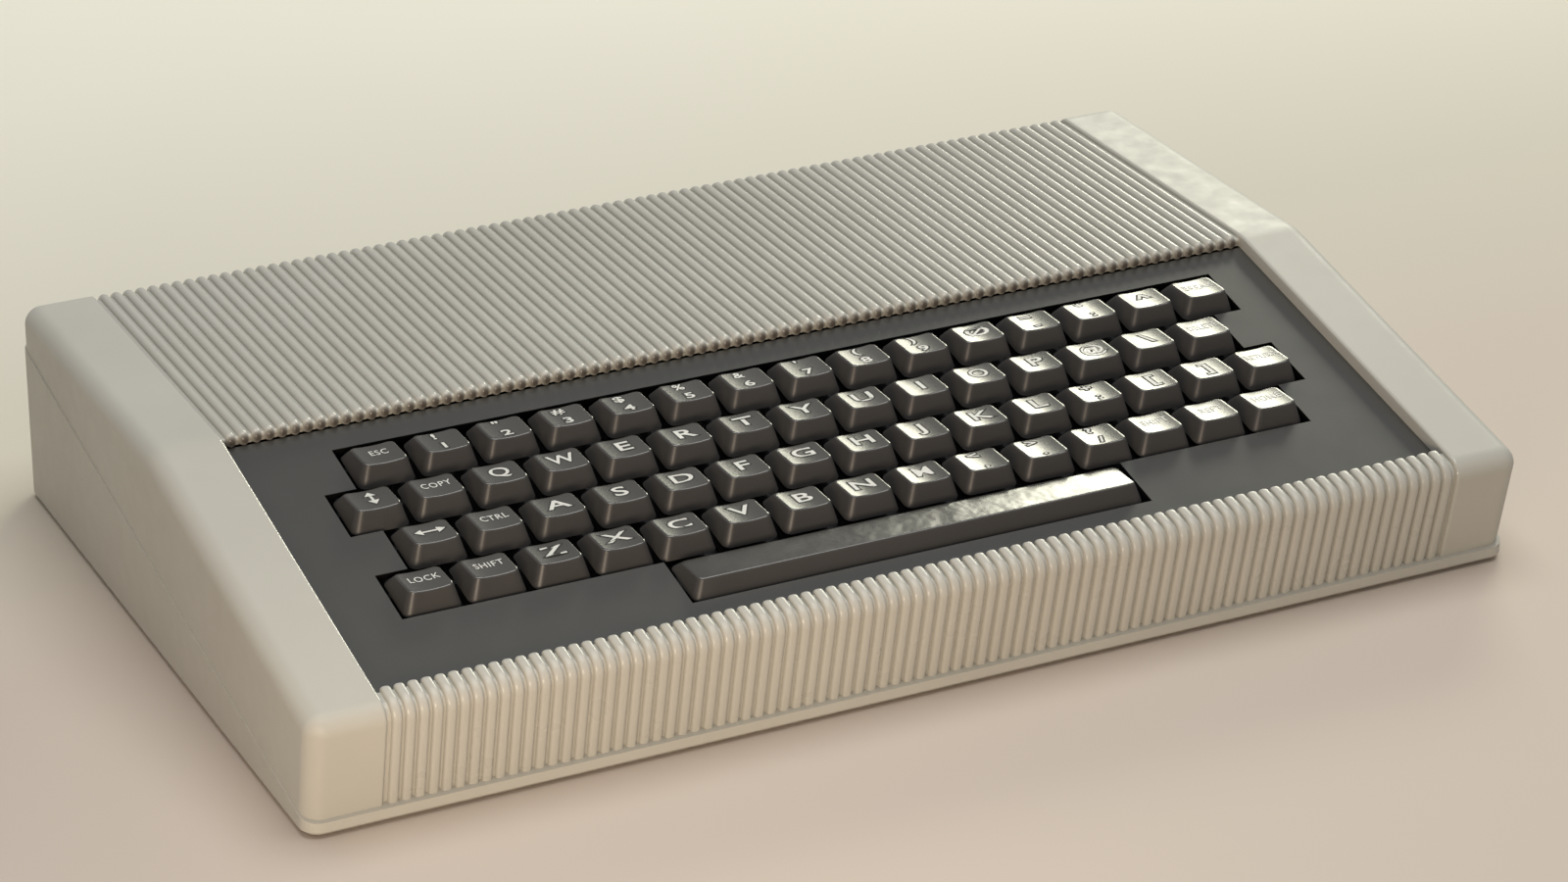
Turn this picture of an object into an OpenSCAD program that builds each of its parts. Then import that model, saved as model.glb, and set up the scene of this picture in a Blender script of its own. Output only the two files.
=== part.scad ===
// Vintage home computer: a wedge-shaped two-shell case with a ribbed deck, a sunken
// full-travel keyboard and the boards, sockets and fasteners that it holds.
// The front faces -Y, the deck is at the rear and the part stands on its feet at Z = 0.

/* [Case] */
// Overall width of the case
case_w = 378; // [372:1:390]
// Depth of the base, from the front lip to the foot of the rear wall
case_d = 237; // [232:1:244]
// Height of the rear deck above the underside of the base
deck_h = 62.5; // [61.5:0.5:66]
// Distance from the front lip to the crease between the slope and the deck
crease_y = 118.4; // [117.6:0.2:120]
// Tilt of the keyboard slope, in degrees
slope_tilt = 12.2; // [11.8:0.1:12.6]
// Tilt of the parting plane between the two shells, in degrees
parting_tilt = 11.1; // [10.6:0.1:11.4]
// Height of the front lip of the lower shell
lip_h = 3.8; // [3.5:0.1:4.4]
// How far the front lip stands out past the upper shell
lip_step = 1.5; // [1:0.1:2]
// How far the lower shell stands out past the upper shell at the sides and rear
side_step = 0.4; // [0.2:0.1:0.8]
// Forward lean of the rear wall, in degrees
rear_lean = 2.5; // [1.5:0.1:3]
// Radius of the outer edges and corners
edge_r = 5.5; // [5.2:0.1:6]
// Thickness of the upper shell's top, front and rear walls
top_wall = 4; // [3.6:0.1:4.4]
// Thickness of the side walls of both shells
side_wall = 3; // [2.5:0.1:3.5]
// Thickness of the lower shell's floor
floor_t = 2.5; // [2.2:0.1:3]
// Width of the smooth border on each side of the ribs and the keyboard
border_w = 22.5; // [21:0.5:24]

/* [Ribs] */
// Number of ribs across the deck, and again across the front
rib_count = 86; // [60:1:90]
// Width of one rib at its foot
rib_w = 2.9; // [2.4:0.1:3]
// Height of the ribs over the grooves
rib_h = 1.4; // [1:0.1:1.6]
// Distance from the border to the middle of the first rib
rib_margin = 3; // [2.6:0.1:4]
// Length of the front ribs along the slope, from the front corner to the keyboard panel
front_rib_l = 11.2; // [10:0.2:13]
// How far the deck ribs reach past the crease over the keyboard panel
rib_overhang = 0.5; // [0.2:0.1:0.8]
// Radius of the rounded rib ends round the keyboard
nose_r = 1.9; // [1.8:0.1:2.2]

/* [Keyboard] */
// Distance between the middles of neighbouring keys
key_pitch = 19.05; // [19:0.01:19.1]
// Width and depth of a keycap at its foot
key_base = 17.1; // [16.6:0.1:17.4]
// Width of the top of a keycap
key_top_w = 12.9; // [12:0.1:13.4]
// Depth of the top of a keycap
key_top_d = 12.2; // [11.6:0.1:12.8]
// Height of a keycap at the middle, from its foot to its top
key_h = 5.5; // [5:0.1:6]
// Height of a keycap's middle over the plane of the case's slope
key_rise = 0.1; // [0:0.05:0.5]
// Depth of the hollow in the top for the finger
dish_depth = 0.6; // [0.4:0.1:0.9]
// Radius of the keycap's upright edges
key_edge_r = 1.1; // [0.8:0.1:1.4]
// Wall of the keycap
cap_wall = 1.5; // [1.2:0.1:1.8]
// How far a key moves when it is pressed
key_travel = 3.5; // [3:0.1:3.7]
// Length of the space bar at its foot
space_l = 141.7; // [136:0.1:146]
// How much lower the space bar's top lies than the other keys
space_drop = 1.1; // [0.6:0.1:1.4]
// Distance of the space bar's middle to the right of the bottom row's middle
space_shift = 6.3; // [5:0.1:8]
// Clear strip between the keycaps and the edge of the panel's opening
panel_gap = 1.5; // [1.3:0.1:1.8]
// Thickness of the dark panel round the keys
panel_t = 2; // [1.6:0.1:2.2]
// Distance of the first row's middle to the right of the case's middle
key_shift = 6; // [5:0.1:7]
// Distance along the slope from the crease to the middle of the four key rows
rows_from_crease = 49.1; // [48.6:0.1:49.6]

/* [Switches] */
// Width of a switch housing
switch_w = 13.6; // [13:0.1:14]
// Height of a switch housing over the switch plate
switch_rise = 2.6; // [2.4:0.1:2.8]
// Radius of the plunger under each keycap
plunger_r = 2.6; // [2.3:0.1:2.8]
// Clearance between a plunger and its guide
plunger_gap = 0.4; // [0.35:0.05:0.5]
// Depth of the switch plate's top face under the slope
plate_depth = 12; // [11.8:0.1:12.4]
// Thickness of the steel switch plate
plate_t = 1.2; // [1:0.1:1.5]

/* [Boards and sockets] */
// Thickness of the circuit boards
board_t = 1.6; // [1.4:0.1:1.8]
// Width of the main board
board_w = 320; // [312:1:324]
// Depth of the main board
board_d = 126; // [124:1:128]
// Height of the main board's underside over the floor
standoff_h = 5.5; // [5:0.1:6]
// Radius of a round signal socket
din_r = 7.6; // [7.2:0.1:8]
// Radius of the barrel of the television socket
tv_plug_r = 4.2; // [3.8:0.1:4.6]
// Radius of the power socket's opening
jack_r = 3; // [2.6:0.1:3.2]
// Width of the expansion connector
bus_w = 90; // [84:1:94]
// Height of the expansion connector
bus_h = 9; // [8:0.5:10]
// Distance between the pins of a chip
chip_pitch = 2.54; // [2.5:0.01:2.54]

/* [Feet and screws] */
// Radius of the rubber feet
foot_r = 7; // [6:0.1:8]
// How far the feet stand out below the base
foot_out = 1; // [0.8:0.1:1.5]
// Shank radius of the screws
screw_r = 1.5; // [1.4:0.05:1.6]
// Shank length of the screws
screw_l = 8; // [7.6:0.1:8.2]

/* [Hidden] */
// Overrun of every cut, and the gap round anything that is seated but not pressed in
over = 1;
seat_gap = 0.1;
corner_facets = 32;
key_facets = 16;
bore_facets = 64;

// The slope runs from a sharp corner, which the edge radius rounds off, up to the crease.
slope_l = (crease_y - lip_step) * cos(slope_tilt) + (deck_h - lip_h) * sin(slope_tilt);
corner_y = crease_y - slope_l * cos(slope_tilt);
corner_z = deck_h - slope_l * sin(slope_tilt);
rear_y = case_d - side_step - deck_h * tan(rear_lean);
rear_tangent = edge_r * tan((90 - rear_lean) / 2);
rear_bend_y = rear_y - rear_tangent;
// The case reaches from the rounded front corner to the foot of the rear wall.
front_y = corner_y + edge_r * (cos(slope_tilt) + sin(slope_tilt) - 1);
mid_y = (front_y + case_d) / 2;

half_w = case_w / 2;
upper_half = half_w - side_step;
inner_half = upper_half - side_wall;
centre_half = half_w - border_w;
rib_pitch = (2 * centre_half - 2 * rib_margin) / (rib_count - 1);
rib_xs = [for (i = [0:rib_count - 1]) i * rib_pitch - centre_half + rib_margin];
// Section of one rib, as shares of its half width and of its height
rib_section_shares = [[-1, 0], [-0.62, 1], [0.62, 1], [1, 0]];

// Key places on the slope: rows are counted from the back, and every other row is half a key to the left.
row_vs = [for (i = [0:3]) slope_l - rows_from_crease + (1.5 - i) * key_pitch];
row_starts = [for (i = [0:3]) key_shift - 7 * key_pitch - (i % 2) * key_pitch / 2];
space_v = row_vs[3] - key_pitch;
space_x = row_starts[3] + 7 * key_pitch + space_shift;
space_guides = [for (i = [-1:1]) i * 3 * key_pitch];
cut_half = key_base / 2 + panel_gap;
key_foot = key_rise - key_h;
cap_ceiling = key_rise - cap_wall - key_top_d * sin(slope_tilt) / 2;
dish_half = (key_top_w + key_edge_r) / 2;
dish_r = (pow(dish_half, 2) + pow(dish_depth, 2)) / (2 * dish_depth);
guide_top = switch_rise - plate_depth;
guide_foot = -plate_depth - 2 * key_travel - over;
plunger_foot = guide_foot + key_travel + 2 * over;
keyboard_board_w = guide_foot - over - board_t;

// Every key that has a node of its own, as [name, row, place in the row]
LETTERS = [
    ["key_q", 1, 2], ["key_w", 1, 3], ["key_e", 1, 4], ["key_r", 1, 5], ["key_t", 1, 6],
    ["key_y", 1, 7], ["key_u", 1, 8], ["key_i", 1, 9], ["key_o", 1, 10], ["key_p", 1, 11],
    ["key_a", 2, 2], ["key_s", 2, 3], ["key_d", 2, 4], ["key_f", 2, 5], ["key_g", 2, 6],
    ["key_h", 2, 7], ["key_j", 2, 8], ["key_k", 2, 9], ["key_l", 2, 10],
    ["key_z", 3, 2], ["key_x", 3, 3], ["key_c", 3, 4], ["key_v", 3, 5], ["key_b", 3, 6],
    ["key_n", 3, 7], ["key_m", 3, 8]
];
DIGITS = [for (i = [1:10]) [str("key_", i % 10), 0, i]];
// Keys that share a node, as [name, [[row, place], ...]]
GROUPS = [
    ["left_control_keys", [[0, 0], [1, 0], [1, 1], [2, 0], [2, 1], [3, 0], [3, 1]]],
    ["right_control_keys", [[0, 13], [0, 14], [1, 14], [2, 14], [3, 12], [3, 13], [3, 14]]],
    ["upper_sign_keys", [[0, 11], [0, 12], [1, 12], [1, 13]]],
    ["lower_sign_keys", [[2, 11], [2, 12], [2, 13], [3, 9], [3, 10], [3, 11]]]
];

// Frames: the case stands on its feet, and the slope frame starts at the sharp front corner.
module case_frame() translate([0, -mid_y, foot_out]) children();
module slope_frame() translate([0, corner_y, corner_z]) rotate([slope_tilt, 0, 0]) children();
module rear_frame() translate([0, rear_y, deck_h]) rotate([rear_lean, 0, 0]) children();
module key_frame(row, place)
    translate([row_starts[row] + place * key_pitch, row_vs[row], 0]) children();
module both_sides() {
    children();
    mirror([1, 0, 0]) children();
}
module centred_slab(w, d, t) translate([-w / 2, -d / 2, 0]) cube([w, d, t]);

// Everything below the parting plane when up is 0, or above it when up is 1
module parting_block(up) translate([0, 0, lip_h]) rotate([parting_tilt, 0, 0])
    translate([-case_w, -case_d, (up - 1) * 2 * case_d]) cube([2 * case_w, 3 * case_d, 2 * case_d]);

// The ribbed skin, cut across its ribs, with the rib tops at y = 0 and the given depth of wall
module comb(depth) polygon(concat(
    [[-centre_half - over, -rib_h]],
    [for (x = rib_xs) for (p = rib_section_shares) [x + p[0] * rib_w / 2, (p[1] - 1) * rib_h]],
    [[centre_half + over, -rib_h], [centre_half + over, -depth], [-centre_half - over, -depth]]
));
// The same skin turned about an axis that lies across the ribs, a radius below the rib tops
module comb_bend(r, from, turn) rotate([90, 0, 90]) rotate([0, 0, from])
    rotate_extrude(angle = turn, $fn = 96) polygon(concat(
        [[0, -centre_half - over], [r - rib_h, -centre_half - over]],
        [for (x = rib_xs) for (p = rib_section_shares) [r + (p[1] - 1) * rib_h, x + p[0] * rib_w / 2]],
        [[r - rib_h, centre_half + over], [0, centre_half + over]]
    ));

// Straight ribs of a length that end, facing -Y, in a round nose that drops through the wall
module nosed_ribs(length, depth) {
    translate([0, nose_r, 0]) rotate([90, 0, 0]) mirror([0, 0, 1])
        linear_extrude(length - nose_r) comb(depth);
    translate([0, nose_r, -nose_r]) comb_bend(nose_r, 90, 90);
    translate([0, 0, -nose_r]) rotate([180, 0, 0]) linear_extrude(depth - nose_r) comb(depth);
}

// Ribs that run over the deck and down the rear, and over the front edge and down the front
bend_overrun = 3;
module ribbed_skin() {
    depth = top_wall + over;
    ribs_y = crease_y - rib_overhang;
    // The bend turns on past the upright, so that its end lies inside the deck's straight ribs.
    translate([0, ribs_y, deck_h]) nosed_ribs(rear_bend_y - seat_gap - ribs_y, depth);
    translate([0, rear_bend_y, deck_h - edge_r])
        comb_bend(edge_r, rear_lean, 90 + bend_overrun - rear_lean);
    rear_frame() translate([0, 0, -rear_tangent]) mirror([0, 0, 1]) linear_extrude(deck_h) comb(depth);
    slope_frame() {
        translate([0, front_rib_l, 0]) mirror([0, 1, 0]) nosed_ribs(front_rib_l - edge_r, depth);
        translate([0, edge_r, -edge_r]) comb_bend(edge_r, 90, 90);
        translate([0, 0, -edge_r]) rotate([180, 0, 0]) linear_extrude(deck_h) comb(depth);
    }
}

// The rounded outside of the upper shell, without ribs
module upper_outside() {
    x = upper_half - edge_r;
    hull() both_sides() {
        slope_frame() translate([x, edge_r, 0]) {
            translate([0, 0, -edge_r]) sphere(r = edge_r, $fn = corner_facets);
            translate([0, 0, -deck_h]) cylinder(r = edge_r, h = over, $fn = corner_facets);
        }
        translate([x, crease_y - edge_r * tan(slope_tilt / 2), deck_h - edge_r])
            sphere(r = edge_r, $fn = corner_facets);
        translate([x, rear_bend_y, deck_h - edge_r]) sphere(r = edge_r, $fn = corner_facets);
        rear_frame() translate([x, -edge_r, -2 * deck_h])
            cylinder(r = edge_r, h = over, $fn = corner_facets);
    }
}

// The hollow of the upper shell: its outline seen from the side, offset by the wall
module upper_hollow() {
    s = sin(slope_tilt);
    c = cos(slope_tilt);
    below = deck_h + top_wall;
    rotate([90, 0, 90]) translate([0, 0, -inner_half]) linear_extrude(2 * inner_half) polygon([
        [corner_y + top_wall * (c + s), corner_z + top_wall * (s - c)],
        [crease_y + top_wall * tan(slope_tilt / 2), deck_h - top_wall],
        [rear_y - top_wall, deck_h - top_wall],
        [rear_y + below * tan(rear_lean) - top_wall, -top_wall],
        [corner_y + top_wall * c + below * s, corner_z + top_wall * s - below * c]
    ]);
}

// Screw bosses: [x, y, height of the joint] for the shells, and [x, v] on the slope for the keyboard
boss_r = 2.6 * screw_r;
boss_x = inner_half - boss_r - over;
front_boss_y = lip_step + top_wall + 2 * boss_r;
rear_boss_y = case_d - 4.5 * boss_r;
rear_joint_z = deck_h - 2 * screw_l - top_wall;
case_screws = [for (x = [-1, 1]) each [
    [x * boss_x, front_boss_y, 3 * lip_h],
    [x * boss_x, rear_boss_y, rear_joint_z]
]];
plate_half = centre_half + 2 * boss_r;
plate_front = space_v - key_pitch / 2 - boss_r;
plate_back = row_vs[0] + key_pitch / 2 + boss_r;
plate_screws = [for (x = [-1, 1]) for (v = [row_vs[3], row_vs[0]]) [x * (plate_half - boss_r), v]];
pilot_r = screw_r + seat_gap / 2;

function ceiling(y) = y > crease_y ? deck_h - top_wall
    : deck_h - (crease_y - y) * tan(slope_tilt) - top_wall / cos(slope_tilt);

module upper_case() color("#b5b0a0") case_frame() {
    difference() {
        union() {
            difference() {
                upper_outside();
                translate([-centre_half, -case_d, -deck_h]) cube([2 * centre_half, 3 * case_d, 3 * deck_h]);
            }
            ribbed_skin();
        }
        upper_hollow();
        parting_block(0);
    }
    // Bosses that take the case screws from below
    for (s = case_screws) difference() {
        translate(s) cylinder(r = boss_r, h = ceiling(s[1]) - s[2] + over);
        translate([s[0], s[1], s[2] - over]) cylinder(r = pilot_r, h = screw_l + over);
    }
    // Bosses that carry the switch plate
    slope_frame() for (p = plate_screws) difference() {
        translate([p[0], p[1], -plate_depth]) cylinder(r = boss_r, h = plate_depth - top_wall + over);
        translate([p[0], p[1], -plate_depth - over]) cylinder(r = pilot_r, h = screw_l + over);
    }
}

// The outside of the lower shell, tucked in a little at its foot
module lower_outside() {
    x = half_w - edge_r;
    tuck = edge_r / 6;
    skin = over / 10;
    hull() both_sides() {
        for (y = [edge_r, case_d - edge_r - tuck])
            translate([x, y, 0]) cylinder(r = edge_r - tuck, h = tuck, $fn = corner_facets);
        translate([x, edge_r, tuck]) cylinder(r = edge_r, h = deck_h, $fn = corner_facets);
        for (z = [tuck, deck_h]) translate([x, case_d - edge_r - z * tan(rear_lean), z])
            cylinder(r = edge_r, h = skin, $fn = corner_facets);
    }
}
inner_front = lip_step + top_wall;
inner_rear = case_d - side_step - top_wall;
module lower_hollow() rotate([90, 0, 90]) translate([0, 0, -inner_half]) linear_extrude(2 * inner_half)
    polygon([
        [inner_front, floor_t],
        [inner_rear - floor_t * tan(rear_lean), floor_t],
        [inner_rear - 2 * deck_h * tan(rear_lean), 2 * deck_h],
        [inner_front, 2 * deck_h]
    ]);

// Rear sockets stand on the main board and reach through the rear wall, a little short of its face.
board_top = floor_t + standoff_h + board_t;
board_back = inner_rear - 4 * seat_gap - deck_h * tan(rear_lean);
board_front = board_back - board_d;
socket_face = case_d - deck_h * tan(rear_lean) / 2;
socket_run = socket_face - board_back + over;
socket_z = board_top + din_r;
din_xs = [-0.2 * board_w, -0.08 * board_w];
tv_x = -0.36 * board_w;
power_x = 0.44 * board_w;
power_z = board_top + 2 * jack_r;
bus_x = 0.2 * board_w;
module rearwards(x, z) translate([x, socket_face, z]) rotate([90, 0, 0]) children();
module rear_hole(x, z, r) translate([x, case_d + over, z]) rotate([90, 0, 0])
    cylinder(r = r, h = case_d - board_back + over, $fn = bore_facets);

foot_places = [for (x = [-0.43, 0.43]) for (y = [0.09, 0.91]) [x * case_w, y * case_d]];
foot_sink = floor_t / 2;
board_screws = [for (x = [-1, 1]) for (y = [0.08, 0.92])
    [x * (board_w / 2 - 2 * boss_r), board_front + y * board_d]];

module lower_case() color("#aaa595") case_frame() difference() {
    union() {
        difference() {
            lower_outside();
            lower_hollow();
            parting_block(1);
        }
        for (s = case_screws) translate([s[0], s[1], foot_sink]) cylinder(r = boss_r, h = s[2] - foot_sink);
        for (p = board_screws) translate([p[0], p[1], foot_sink])
            cylinder(r = boss_r, h = floor_t + standoff_h - foot_sink);
    }
    for (s = case_screws) translate([s[0], s[1], -over]) {
        cylinder(r = screw_r + 2 * seat_gap, h = s[2] + 2 * over);
        cylinder(r = 2.05 * screw_r, h = s[2] - 2 * screw_r + over);
    }
    for (p = board_screws) translate([p[0], p[1], board_top - screw_l - seat_gap])
        cylinder(r = pilot_r, h = screw_l);
    for (p = foot_places) translate([p[0], p[1], -over]) cylinder(r = foot_r + seat_gap, h = foot_sink + over);
    for (x = din_xs) rear_hole(x, socket_z, din_r + seat_gap);
    rear_hole(tv_x, socket_z, tv_plug_r + 4 * seat_gap);
    rear_hole(power_x, power_z, jack_r + 4 * seat_gap);
    translate([bus_x - bus_w / 2 - seat_gap, board_back, board_top])
        cube([bus_w + 2 * seat_gap, case_d, bus_h + seat_gap]);
}

// The dark panel's opening has a step for each row and one for the space bar.
module key_opening() {
    for (i = [0:3]) translate([row_starts[i] - cut_half, row_vs[i] - cut_half])
        square([14 * key_pitch + 2 * cut_half, 2 * cut_half]);
    translate([space_x - space_l / 2 - panel_gap, space_v - cut_half])
        square([space_l + 2 * panel_gap, 2 * cut_half]);
}
panel_half = centre_half + (inner_half - centre_half) / 3;
panel_front = front_rib_l - border_w / 9;
panel_back = slope_l - (top_wall + panel_t) * tan(slope_tilt / 2) - seat_gap;
module key_panel() color("#4a4b50") case_frame() slope_frame()
    translate([0, 0, -top_wall - panel_t]) linear_extrude(panel_t) difference() {
        translate([-panel_half, panel_front]) square([2 * panel_half, panel_back - panel_front]);
        key_opening();
        for (p = plate_screws) translate(p) circle(r = boss_r + seat_gap, $fn = bore_facets);
    }

module key_places() {
    for (i = [0:3]) for (j = [0:14]) key_frame(i, j) children();
    for (x = space_guides) translate([space_x + x, space_v, 0]) children();
}

module switch_plate() color("#18181a") case_frame() slope_frame() translate([0, 0, -plate_depth - plate_t])
    difference() {
        translate([-plate_half, plate_front, 0]) cube([2 * plate_half, plate_back - plate_front, plate_t]);
        for (p = plate_screws) translate([p[0], p[1], -over])
            cylinder(r = screw_r + seat_gap, h = plate_t + 2 * over);
        key_places() translate([0, 0, -over]) centred_slab(switch_w, switch_w, plate_t + 2 * over);
    }

// Each housing hangs in its hole in the plate, stands on the board and guides one plunger.
module switch_housings() color("#26262a") case_frame() slope_frame() key_places() difference() {
    w = switch_w - 2 * seat_gap;
    translate([0, 0, guide_foot - over]) centred_slab(w, w, guide_top - guide_foot + over);
    translate([0, 0, guide_foot]) cylinder(r = plunger_r + plunger_gap, h = guide_top - guide_foot + over);
}

module keyboard_board() color("#2f5a3a") case_frame() slope_frame()
    translate([boss_r - centre_half, plate_front + boss_r, keyboard_board_w])
        cube([2 * centre_half - 2 * boss_r, plate_back - plate_front - 2 * boss_r, board_t]);

// A keycap: a pyramid with rounded upright edges and a level top, hollow underneath
module rounded_slab(w, d, t) linear_extrude(t) for (x = [-1, 1]) for (y = [-1, 1])
    translate([x * (w / 2 - key_edge_r), y * (d / 2 - key_edge_r)]) circle(r = key_edge_r, $fn = key_facets);
module keycap(w_foot, w_top, top) {
    skin = seat_gap / 10;
    difference() {
        hull() {
            translate([0, 0, key_foot]) rounded_slab(w_foot, key_base, skin);
            translate([0, 0, top]) rotate([-slope_tilt, 0, 0]) translate([0, 0, -skin])
                rounded_slab(w_top, key_top_d, skin);
        }
        translate([0, 0, key_foot - over]) centred_slab(
            w_foot - 3 * cap_wall, key_base - 3 * cap_wall, cap_ceiling + top - key_rise - key_foot + over
        );
    }
}
module plunger() translate([0, 0, plunger_foot])
    cylinder(r = plunger_r, h = cap_ceiling + cap_wall / 2 - plunger_foot);
// A letter key's top is dished across, for the finger.
module key(row, place) color("#3b3836") case_frame() slope_frame() key_frame(row, place) {
    difference() {
        keycap(key_base, key_top_w, key_rise);
        translate([0, 0, key_rise]) rotate([-slope_tilt, 0, 0]) translate([0, 0, dish_r - dish_depth])
            rotate([90, 0, 0]) cylinder(r = dish_r, h = 2 * key_base, center = true, $fn = 180);
    }
    plunger();
}
module space_bar() color("#3b3836") case_frame() slope_frame() translate([space_x, space_v, 0]) {
    keycap(space_l, space_l - key_base + key_top_w, key_rise - space_drop);
    for (x = space_guides) translate([x, 0, -space_drop]) plunger();
}

module main_board() color("#2f5a3a") case_frame() difference() {
    translate([-board_w / 2, board_front, board_top - board_t]) cube([board_w, board_d, board_t]);
    for (p = board_screws) translate([p[0], p[1], board_top - board_t - over])
        cylinder(r = screw_r + seat_gap, h = board_t + 2 * over);
}

// Chips: a body on two rows of pins, set out in banks at a share of the board's width and depth
module chip(pins, w) {
    l = pins / 2 * chip_pitch;
    leg = chip_pitch / 5;
    translate([0, 0, chip_pitch / 4]) centred_slab(w, l, 1.4 * chip_pitch);
    for (x = [-1, 1]) translate([x * w / 2, 0, 0]) centred_slab(leg, l - chip_pitch, chip_pitch);
}
module chip_bank(pins, w, columns, rows, x_share, y_share)
    for (i = [0:columns - 1]) for (j = [0:rows - 1]) translate([
        (x_share - 0.5) * board_w + i * (w + 2 * chip_pitch),
        board_front + y_share * board_d + j * (pins / 2 + 2) * chip_pitch,
        board_top
    ]) chip(pins, w);
small_pin_count = 16;
middle_pin_count = 24;
large_pin_count = 40;
module board_chips() color("#202022") case_frame() {
    chip_bank(small_pin_count, 2.5 * chip_pitch, 14, 2, 0.08, 0.24);
    chip_bank(large_pin_count, 5.4 * chip_pitch, 3, 1, 0.6, 0.36);
    chip_bank(middle_pin_count, 5.4 * chip_pitch, 4, 1, 0.32, 0.66);
}

// The modulator's can, with the barrel of its socket
can_w = 28;
can_d = 40;
module tv_modulator() color("#9b9ca0") case_frame() difference() {
    union() {
        translate([tv_x - can_w / 2, board_back - can_d, board_top]) cube([can_w, can_d, 2 * din_r]);
        rearwards(tv_x, socket_z) cylinder(r = tv_plug_r, h = socket_run);
    }
    rearwards(tv_x, socket_z) translate([0, 0, -over]) cylinder(r = tv_plug_r / 2.6, h = 2 * socket_run);
}

module din_sockets() color("#242426") case_frame() for (x = din_xs) {
    translate([x - din_r - over, board_back - 2 * din_r, board_top])
        cube([2 * (din_r + over), 2 * din_r, 2 * din_r]);
    rearwards(x, socket_z) difference() {
        cylinder(r = din_r, h = socket_run);
        difference() {
            translate([0, 0, -over]) cylinder(r = din_r - over, h = socket_run - over);
            translate([0, 0, 2 * over]) cylinder(r = din_r - 2 * over, h = socket_run);
        }
    }
}

module power_socket() color("#1c1c1e") case_frame() difference() {
    translate([power_x - 2 * jack_r, board_back - 4 * jack_r, board_top])
        cube([4 * jack_r, 4 * jack_r, 4 * jack_r]);
    translate([power_x, board_back + over, power_z]) rotate([90, 0, 0]) difference() {
        cylinder(r = jack_r, h = 3 * jack_r);
        cylinder(r = jack_r / 3, h = 4 * jack_r);
    }
}

module expansion_connector() color("#b9b2a0") case_frame() difference() {
    lip = bus_h / 5;
    translate([bus_x - bus_w / 2, board_back - bus_h, board_top])
        cube([bus_w, socket_face - board_back + bus_h, bus_h]);
    translate([bus_x - bus_w / 2 + lip, socket_face - bus_h / 2, board_top + lip])
        cube([bus_w - 2 * lip, bus_h, bus_h - 3 * lip]);
}

// A finned heat sink with a regulator clamped to each half of its rear face
fin_t = 1.5;
fin_count = 9;
sink_w = 60;
sink_h = 22;
sink_x = 0.3 * board_w;
sink_y = board_back - board_d / 5;
regulator_w = 10;
module heat_sink() color("#77787c") case_frame() translate([sink_x, sink_y, board_top]) rotate([90, 0, 0])
    linear_extrude(sink_h) {
        translate([-sink_w / 2, 0]) square([sink_w, 2 * fin_t]);
        for (i = [0:fin_count - 1])
            translate([i * (sink_w - fin_t) / (fin_count - 1) - sink_w / 2, 0]) square([fin_t, sink_h]);
    }
module voltage_regulators() color("#1e1e20") case_frame() for (x = [-1, 1])
    translate([sink_x + (x * sink_w - 2 * regulator_w) / 4, sink_y + seat_gap, board_top])
        cube([regulator_w, 0.45 * regulator_w, 1.5 * regulator_w]);

// The loudspeaker: a frame, a cone and a magnet, turned about one axis
speaker_r = 28;
speaker_shares = [[0, 0], [1, 0], [1, 0.1], [0.9, 0.1], [0.43, 0.32], [0.43, 0.54], [0, 0.54]];
module loudspeaker() color("#3a3a3c") case_frame() translate([-0.3 * case_w, 0.2 * case_d, floor_t])
    rotate_extrude($fn = 96) polygon([for (p = speaker_shares) p * speaker_r]);

large_cap_r = 7.8;
// From the end of the heat sink to the first large capacitor, and on to the next, by their radius
large_cap_shares = [1.28205, 2.25641];
small_cap_r = 4;
module capacitors() color("#34507a") case_frame() {
    for (i = [0, 1]) translate([
        sink_x - sink_w / 2 - (large_cap_shares[0] + large_cap_shares[1] * i) * large_cap_r, sink_y, board_top
    ]) cylinder(r = large_cap_r, h = 2.5 * large_cap_r);
    for (i = [0:2]) translate([(0.05 * i - 0.44) * board_w, board_back - 0.41 * board_d, board_top])
        cylinder(r = small_cap_r, h = 2.7 * small_cap_r);
}

// A flat cable between the keyboard board and the main board, with a plug at each end
ribbon_w = 50;
ribbon_t = 1;
plug_d = 6;
plug_v = plate_back - 3 * boss_r;
ribbon_y = corner_y + plug_v * cos(slope_tilt) - (keyboard_board_w - plug_d / 2) * sin(slope_tilt);
ribbon_top = corner_z + plug_v * sin(slope_tilt) + (keyboard_board_w - plug_d / 2) * cos(slope_tilt);
// How far the main board's plug stands behind its front edge, by the depth of the plug
plug_share = 0.3273;
plug_y = board_front + plug_share * plug_d;
module ribbon_cable() color("#8c8f96") case_frame() {
    translate([0, plug_y, board_top]) centred_slab(ribbon_w, plug_d, plug_d);
    translate([-ribbon_w / 2, 0, 0]) rotate([90, 0, 90]) linear_extrude(ribbon_w) polygon([
        [plug_y - ribbon_t / 2, board_top], [plug_y + ribbon_t / 2, board_top],
        [ribbon_y + ribbon_t / 2, ribbon_top], [ribbon_y - ribbon_t / 2, ribbon_top]
    ]);
    slope_frame() translate([0, plug_v, keyboard_board_w - plug_d]) centred_slab(ribbon_w, plug_d, plug_d);
}

module screw() {
    cylinder(r = screw_r, h = screw_l);
    mirror([0, 0, 1]) cylinder(r = 1.9 * screw_r, h = 1.4 * screw_r);
}
module screws() color("#8a8b8e") case_frame() {
    for (s = case_screws) translate([s[0], s[1], s[2] - 2 * screw_r]) screw();
    slope_frame() for (p = plate_screws) translate([p[0], p[1], -plate_depth - plate_t]) screw();
    for (p = board_screws) translate([p[0], p[1], board_top]) mirror([0, 0, 1]) screw();
}

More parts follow.
